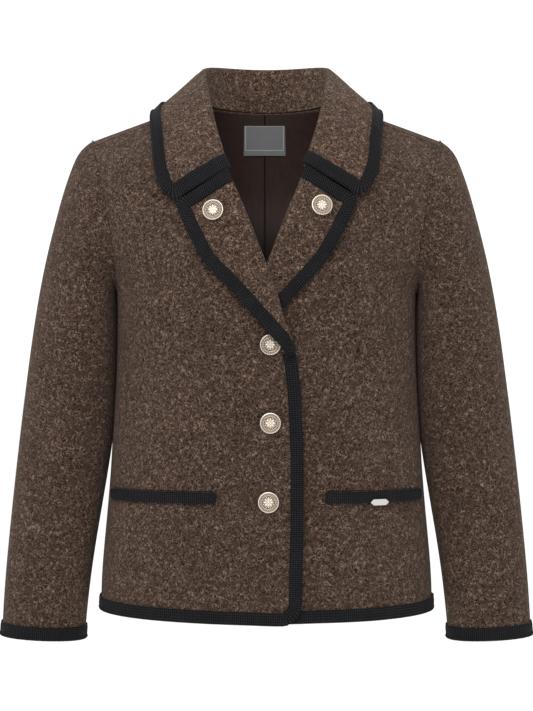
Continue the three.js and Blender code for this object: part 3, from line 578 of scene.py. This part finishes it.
def smooth_line(rows, steps, closed=False):
    """Points along the first axis, with a smooth curve through them."""
    count = len(rows)
    result = []
    for i in range(count if closed else count - 1):
        if closed:
            a, b, c, d = (rows[(i + k) % count] for k in (-1, 0, 1, 2))
        else:
            a, b, c, d = (rows[min(max(i + k, 0), count - 1)] for k in (-1, 0, 1, 2))
        for step in range(steps[i]):
            t = step / steps[i]
            result.append(0.5 * (2 * b + (c - a) * t + (2 * a - 5 * b + 4 * c - d) * t * t
                                 + (3 * b - a - 3 * c + d) * t ** 3))
    if not closed:
        result.append(rows[-1])
    return np.array(result)


def square(vectors):
    """Vectors made one metre long."""
    return vectors / np.maximum(np.linalg.norm(vectors, axis=-1, keepdims=True), 1e-9)


def over_roll(outer, inner, cloth, length):
    """Carries the last section of a braid on over the fold of the cloth, by a length. Only
    its visible side goes on, 1.5 mm thick: the side below ends where the fold starts."""
    step = thick = 0.0015
    lines = []
    for share in (0.0, 0.8):  # at the inner edge, and near the outer one
        point, before = (row[0] * (1 - share) + row[1] * share for row in outer[:-3:-1])
        way = Vector(point - before)
        foot, normal, _, height = cloth.find_nearest(Vector(point))
        line = []
        for _ in range(round(length / step)):
            way = (way - normal * way.dot(normal)).normalized()
            ahead, normal, _, _ = cloth.find_nearest(foot + way * step)
            way, foot = ahead - foot, ahead
            line.append((foot, normal))
        lines.append((height, line))
    (height, inside), (reach, outside) = lines
    wide = np.linalg.norm(outer[-1, 0] - outer[-1, 1])
    more = [[], []]
    for (a, up_a), (b, up_b) in zip(inside, outside):
        way = np.array(((b + up_b * reach) - (a + up_a * height)).normalized())
        for rows, lower in zip(more, (0.0, thick)):
            first = np.array(a + up_a * (height - lower))
            edge = first + way * wide
            beyond = edge + way * (0.002 - lower) - np.array(up_b) * thick
            under = beyond - np.array(up_b) * 0.001
            rows.append([first, edge, beyond, under, under - way * 0.0005])
    return np.concatenate([outer, more[0]]), np.concatenate([inner, more[1]])


def lie_on(cloth, outer, inner, columns):
    """Lays the visible side of a braid on its cloth, rolled down along its inner edge."""
    for side, high in ((outer, FACE_HIGH), (inner, BACK_HIGH)):
        moved = side[:, :columns].copy()
        for r in range(len(side)):
            for c in range(columns):
                place = Vector(side[r, c])
                foot, normal, _, apart = cloth.find_nearest(place)
                if apart < OTHER_CLOTH and normal.dot(Vector(outer[r, 0] - inner[r, 0])) > 0:
                    low = high * (1 - 0.5 * (1 - c / columns) ** 6)
                    moved[r, c] = foot + normal * low
        shift = moved - side[:, :columns]
        soft = np.mean([np.roll(shift, k, axis=0) for k in range(-3, 4)], axis=0)
        soft[:3], soft[-3:] = shift[:3], shift[-3:]
        side[:, :columns] += soft


def laid_out(node, cloth, count, closed, over, tail):
    """A braid's sections as its solid has them, carried on over the folds at its ends."""
    outer, inner = sections_of(node, count, closed)
    if not over:
        return outer, inner
    if outer[0, 0, 2] > outer[-1, 0, 2] + 0.05:  # a lapel's starts at its lower end
        outer, inner = outer[::-1], inner[::-1]
    outer, inner = over_roll(outer, inner, cloth, over)
    if tail:
        return (np.concatenate([rows[:1] + tail, rows]) for rows in (outer, inner))
    return over_roll(outer[::-1], inner[::-1], cloth, over)


def widen(outer, inner, closed):
    """Pushes the inner edge of the visible side out to the braid's full width."""
    way = square(np.roll(outer[:, 1], -2, axis=0) - np.roll(outer[:, 1], 2, axis=0))
    if not closed:
        way[:2], way[-2:] = way[2], way[-3]
    across = outer[:, 0] - outer[:, 1]
    across -= (across * way).sum(axis=1)[:, None] * way
    short = np.maximum(0, WIDE - np.linalg.norm(across, axis=1))[:, None]
    outer[:, 0] += square(across) * short
    inner[:, 0] += square(across) * short


def distances(line):
    """How far along a line each of its points is."""
    return np.concatenate([[0], np.cumsum(np.linalg.norm(np.diff(line, axis=0), axis=1))])


def knit_mesh(node, loops, ribs, stitches, last_rib=None):
    """A braid's closed surface from its loops of points, with a map that counts the ribs
    along it and the stitches round it. A last rib closes it into a ring."""
    rows, size = loops.shape[:2]
    faces = []
    for r in range(rows if last_rib else rows - 1):
        for c in range(size):
            n, s = (c + 1) % size, (r + 1) % rows
            faces.append((r * size + c, r * size + n, s * size + n, s * size + c))
    if not last_rib:
        faces.append(tuple(range(size))[::-1])
        faces.append(tuple((rows - 1) * size + c for c in range(size)))
    mesh = bpy.data.meshes.new(node + "_knit")
    mesh.from_pydata(loops.reshape(-1, 3).tolist(), [], faces)
    piece = bpy.data.objects.new(node + "_knit", mesh)
    bpy.context.scene.collection.objects.link(piece)
    index = np.empty(len(mesh.loops), dtype=int)
    mesh.loops.foreach_get("vertex_index", index)
    u, v = ribs[index // size], stitches[index % size]
    if last_rib:
        closing = np.arange(len(index)) // 4 >= (rows - 1) * size
        u = np.where(closing & (index < size), last_rib, u)
    knit = mesh.uv_layers.new(name="Knit")
    knit.data.foreach_set("uv", np.stack([u, v], axis=1).ravel())
    select(piece)
    bpy.ops.object.mode_set(mode="EDIT")
    bpy.ops.mesh.select_all(action="SELECT")
    bpy.ops.mesh.normals_make_consistent(inside=False)
    bpy.ops.object.mode_set(mode="OBJECT")
    bpy.ops.object.shade_smooth_by_angle(angle=math.radians(65))
    return piece


def knit_braid(node, on, count=FOLDED, closed=False, over=0.0, tail=None):
    """The braid in the shape of its solid, with its ribs and stitches raised on it. It goes
    on over the cloth's fold by a length, and on by a tail at its other end."""
    cloth = bpy.data.objects[on + "_cloth"].data
    cloth = BVHTree.FromPolygons([v.co[:] for v in cloth.vertices],
                                 [p.vertices[:] for p in cloth.polygons])
    outer, inner = laid_out(node, cloth, count, closed, over, tail)
    line = outer[:, :2].mean(axis=1)
    gaps = np.linalg.norm(np.roll(line, -1, axis=0) - line, axis=1)
    steps = [max(1, round(gap / (RIB / 4))) for gap in gaps]
    outer, inner = (smooth_line(side, steps, closed) for side in (outer, inner))
    turn = [3] * (outer.shape[1] - 1)  # how finely each side of a section is divided
    if count == FOLDED:
        widen(outer, inner, closed)
        turn[0] = 5
    outer, lined = (smooth_line(side.swapaxes(0, 1), turn).swapaxes(0, 1)
                    for side in (outer, inner))
    if count == FOLDED:
        lie_on(cloth, outer, lined, turn[0])

    line = outer[:, :4].mean(axis=1)
    along, aside = distances(line), distances(outer.mean(axis=0))
    whole = along[-1] + (np.linalg.norm(line[0] - line[-1]) if closed else 0)
    rib = whole / round(whole / RIB) if closed else RIB
    wave = np.cos(2 * np.pi * along / rib)[:, None]
    stitch = np.cos(2 * np.pi * (aside[None, :] / STITCH + 0.25 * wave))
    raised = RIB_HIGH * wave + STITCH_HIGH * stitch
    outer = outer + square(outer - lined) * raised[..., None]

    back = [0, *np.cumsum(turn)][::-1]
    loops = np.concatenate([outer, lined[:, back]], axis=1)
    stitches = np.concatenate([aside, aside[back]]) / STITCH
    piece = knit_mesh(node, loops, along / rib, stitches, whole / rib if closed else None)
    return piece, whole, aside[-1]


navy, place = finish("navy_braid", roughness=0.85, sheen_weight=0.03, sheen_roughness=0.4,
                      sheen_tint=(0.6, 0.63, 0.7, 1.0), specular_ior_level=0.12)
knit_map = place.add("ShaderNodeUVMap", {}, uv_map="Knit")
fuzz = place.noise(900.0)
patch = place.noise(60.0, 1.0)
wave = (knit_map.axis("X") * (2 * math.pi)).math("COSINE")
loops = ((knit_map.axis("Y") + wave * 0.22) * (2 * math.pi)).math("COSINE")
# Painted shade and light: the braid's colour is darker in the hollows between its ribs and
# stitches and lighter on their tops, mixed with random fuzz and patches of tone
knit_shade_and_fuzz = (wave * 0.28 + loops * 0.22 + fuzz * 0.7 + patch * 0.25 - 0.1).rise(0.0, 0.9)
colour = knit_shade_and_fuzz.add("ShaderNodeValToRGB", {"Fac": knit_shade_and_fuzz}, stops=[
    (0.0, (0.0008, 0.0008, 0.0009)), (0.5, (0.0026, 0.0026, 0.0030)),
    (1.0, (0.018, 0.0184, 0.0208))])
colour.into("Base Color")
(wave * 0.3 + loops * 0.35 + fuzz * 0.5).bump(0.0005, 0.8)

braids = [("binding_collar", "collar", dict(over=0.0155)),
          ("binding_lapel_right", "lapel_right",
           dict(over=0.005, tail=(0.0035, 0.0015, -0.0085))),
          ("binding_lapel_left", "lapel_left",
           dict(over=0.005, tail=(-0.0042, 0.0012, -0.0050))),
          ("binding_front_right", "front_right", {}),
          ("binding_front_left", "front_left", {}),
          ("binding_back", "back", {}),
          ("binding_cuff_right", "sleeve_right", dict(closed=True)),
          ("binding_cuff_left", "sleeve_left", dict(closed=True)),
          ("pocket_right", "front_right", dict(count=FLAT)),
          ("pocket_left", "front_left", dict(count=FLAT))]
for node, on, knit in braids:
    piece, length, width = knit_braid(node, on, **knit)
    piece.data.materials.append(navy)
    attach(piece, "root")
    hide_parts(node)
# The right lapel's point bends upright, to run into the front edge beside the top button.
for name in ("lapel_right_cloth", "binding_lapel_right_knit"):
    lean(bpy.data.objects[name], [(-305, 20, 3), (-288, 14, 4), (-277, 11, 5.5),
                                  (-265, 0, 4.2), (-254, -10, 2.4), (-242, -20, 1),
                                  (-230, -30, 0)], 14)


# The buttons
# Cast metal buttons in an old silver finish, 24 mm across: a raised rim, a ring of beads
# in a sunk channel, and a plain rosette of eight petals. They are sewn on by a shank.
silver, place = finish("old_silver", metallic=1.0)
worn = place.noise(700.0, 3.0)
hollow = place.add("ShaderNodeAttribute", {}, output="Fac", attribute_name="hollow")
dirt = (hollow * 1.1 + (worn - 0.5) * 0.8).rise(0.15, 0.8)
dirt.between((0.58, 0.505, 0.425, 1.0), (0.19, 0.155, 0.125, 1.0)).into("Base Color")
(0.4 + dirt * 0.3 + worn * 0.1).into("Roughness")
worn.bump(0.0002, 0.35)

# The radius of its flat back, in millimetres
BACK_RADIUS = 10.6
bpy.ops.mesh.primitive_circle_add(vertices=72, radius=BACK_RADIUS / 1000,
                                  fill_type="NOTHING")
button = bpy.context.object
button.name = "button"
bpy.ops.object.mode_set(mode="EDIT")
bpy.ops.mesh.select_all(action="SELECT")
# From the back's edge round the rim to the middle of the face: radius and height
profile = [(11.7, 0.5), (12.15, 1.3), (12.0, 2.2), (11.5, 2.75), (10.9, 2.8), (10.45, 2.4),
           (10.2, 1.95), (9.7, 1.8), (9.0, 1.8), (8.5, 1.85), (8.3, 2.3), (7.95, 2.5),
           (7.6, 2.3), (7.4, 1.95), (6.6, 1.9), (5.2, 2.05), (3.6, 2.2), (1.8, 2.3)]
radius, height = BACK_RADIUS, 0.0
for r, h in profile:
    bpy.ops.mesh.extrude_edges_move(
        TRANSFORM_OT_translate={"value": (0, 0, (h - height) / 1000)})
    bpy.ops.transform.resize(value=(r / radius, r / radius, 1),
                             center_override=(0, 0, h / 1000))
    radius, height = r, h
bpy.ops.mesh.edge_face_add()
bpy.ops.mesh.select_all(action="DESELECT")
bpy.ops.object.mode_set(mode="OBJECT")
work = bmesh.new()
work.from_mesh(button.data)
rim = [e for e in work.edges if e.is_boundary]
bmesh.ops.contextual_create(work, geom=rim)
bmesh.ops.recalc_face_normals(work, faces=work.faces)
work.to_mesh(button.data)
work.free()


def petal(place, size, turn):
    """One raised drop of metal on the button."""
    bpy.ops.mesh.primitive_uv_sphere_add(segments=12, ring_count=8, radius=1)
    drop = bpy.context.object
    drop.data.transform(Matrix.Translation(place) @ Matrix.Rotation(turn, 4, "Z")
                        @ Matrix.Diagonal((*size, 1)))
    return drop


# The petals, the seeds between them and the ring of beads: how many, how far out and how
# high they lie, in millimetres, how large they are, and the turn of the first one
rings = [(1, 0.0, 2.3, (1.4, 1.4, 0.9), 0.0),
         (8, 3.9, 2.15, (2.4, 1.15, 0.9), 0.0),
         (8, 6.1, 2.0, (0.9, 0.6, 0.5), math.pi / 8),
         (30, 9.32, 1.85, (0.62, 0.62, 0.55), 0.0)]
parts = []
for number, out, high, size, first in rings:
    for i in range(number):
        turn = first + i * 2 * math.pi / number
        spot = Vector((out * math.cos(turn), out * math.sin(turn), high)) / 1000
        parts.append(petal(spot, Vector(size) / 1000, turn))
bpy.ops.object.select_all(action="DESELECT")
for part in parts:
    part.select_set(True)
button.select_set(True)
bpy.context.view_layer.objects.active = button
bpy.ops.object.join()
# Dirt stays where the metal is low: below this height on the face and outside the channel
FACE_LEVEL, RIM_LEVEL, CHANNEL_OUT = 2.35, 2.65, 10.6
low_parts = button.data.attributes.new("hollow", "FLOAT", "POINT")
for vertex, value in zip(button.data.vertices, low_parts.data):
    reach = math.hypot(vertex.co.x, vertex.co.y) * 1000
    level = FACE_LEVEL if reach < CHANNEL_OUT else RIM_LEVEL
    value.value = max(0.0, min(1.0, (level - vertex.co.z * 1000) / 0.5))
bpy.ops.object.shade_smooth_by_angle(angle=math.radians(45))

for node in ("button_1", "button_2", "button_3", "button_lapel_right", "button_lapel_left"):
    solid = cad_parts[node].data
    points = np.array([v.co[:] for v in solid.vertices])
    low, high = points.min(axis=0), points.max(axis=0)
    spread = np.linalg.svd(points - points.mean(axis=0), full_matrices=False)[2]
    facing = Vector(spread[2])
    if facing.y > 0:
        facing.negate()
    across = Vector((1, 0, 0))
    upward = facing.cross(across).normalized()
    across = upward.cross(facing).normalized()
    heights = (points - points.mean(axis=0)) @ np.array(facing)
    disc = points[heights < heights.min() + 0.0003]  # the points of the solid's flat back
    foot = Vector((disc.min(axis=0) + disc.max(axis=0)) / 2)
    piece = bpy.data.objects.new(node + "_cast", button.data.copy())
    bpy.context.scene.collection.objects.link(piece)
    turned = Matrix((across, upward, facing)).transposed().to_4x4()
    piece.data.transform(Matrix.Translation(foot) @ turned)
    piece.data.materials.clear()
    piece.data.materials.append(silver)
    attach(piece, "root")
    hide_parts(node)
bpy.data.objects.remove(button)


# The pocket plate
# A small blank plate of brushed metal with pointed ends, pinned to the braid of the
# wearer's left pocket.
brushed, place = finish("brushed_plate", metallic=1.0)
streak = place.stretched((300.0, 300.0, 5000.0)).noise(1.0, 3.0)
streak.between((0.52, 0.495, 0.465, 1.0), (0.70, 0.67, 0.63, 1.0)).into("Base Color")
(0.24 + streak * 0.2).into("Roughness")
streak.bump(0.00005, 0.3)
plate = cloth_wall("pocket_plate", levels=0)
plate.name = "pocket_plate_metal"
edge = plate.modifiers.new("Edge", "BEVEL")
edge.width = 0.00025
edge.segments = 2
bpy.ops.object.modifier_apply(modifier="Edge")
plate.data.materials.append(brushed)
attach(plate, "root")
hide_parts("pocket_plate")


# The room
# A pale floor below the jacket, soft light from the front and above, and a level camera
# in front at the height of the jacket's middle.
bpy.ops.mesh.primitive_plane_add(size=60, location=(0, 0, -1.05))
floor = bpy.context.object
floor.name = "floor"
pale, place = finish("pale_floor", roughness=0.9, specular_ior_level=0.1)
place.noise(3.0).between(grey(0.88), grey(0.92)).into("Base Color")
floor.data.materials.append(pale)

bpy.context.scene.view_settings.view_transform = "Standard"
world = bpy.data.worlds.new("studio")
bpy.context.scene.world = world
world.use_nodes = True
world.node_tree.nodes["Background"].inputs["Color"].default_value = (1.0, 1.0, 1.0, 1.0)
world.node_tree.nodes["Background"].inputs["Strength"].default_value = 1.14


def softbox(name, place, towards, size, power):
    light = bpy.data.lights.new(name, "AREA")
    light.shape = "RECTANGLE"
    light.size, light.size_y = size
    light.energy = power
    lamp = bpy.data.objects.new(name, light)
    bpy.context.scene.collection.objects.link(lamp)
    lamp.location = place
    aim = Vector(towards) - Vector(place)
    lamp.rotation_euler = aim.to_track_quat("-Z", "Y").to_euler()


softbox("front_box", (-0.4, -2.6, 1.3), (0, 0, -0.3), (1.4, 1.0), 62)
softbox("top_box", (0.5, -0.7, 1.9), (0, 0, -0.2), (1.6, 1.0), 4)

# The photograph is 711 pixels high and was taken with a focal length of 1750 pixels.
PHOTO_HIGH, FOCAL = 711, 1750
view = bpy.data.cameras.new("camera")
view.sensor_width = 36.0
view.lens = view.sensor_width * FOCAL / PHOTO_HIGH
view.clip_start = 0.05
camera = bpy.data.objects.new("camera", view)
bpy.context.scene.collection.objects.link(camera)
camera.location = (0.0, -2.1, -0.306)
camera.rotation_euler = (math.pi / 2, 0.0, 0.0)
bpy.context.scene.camera = camera
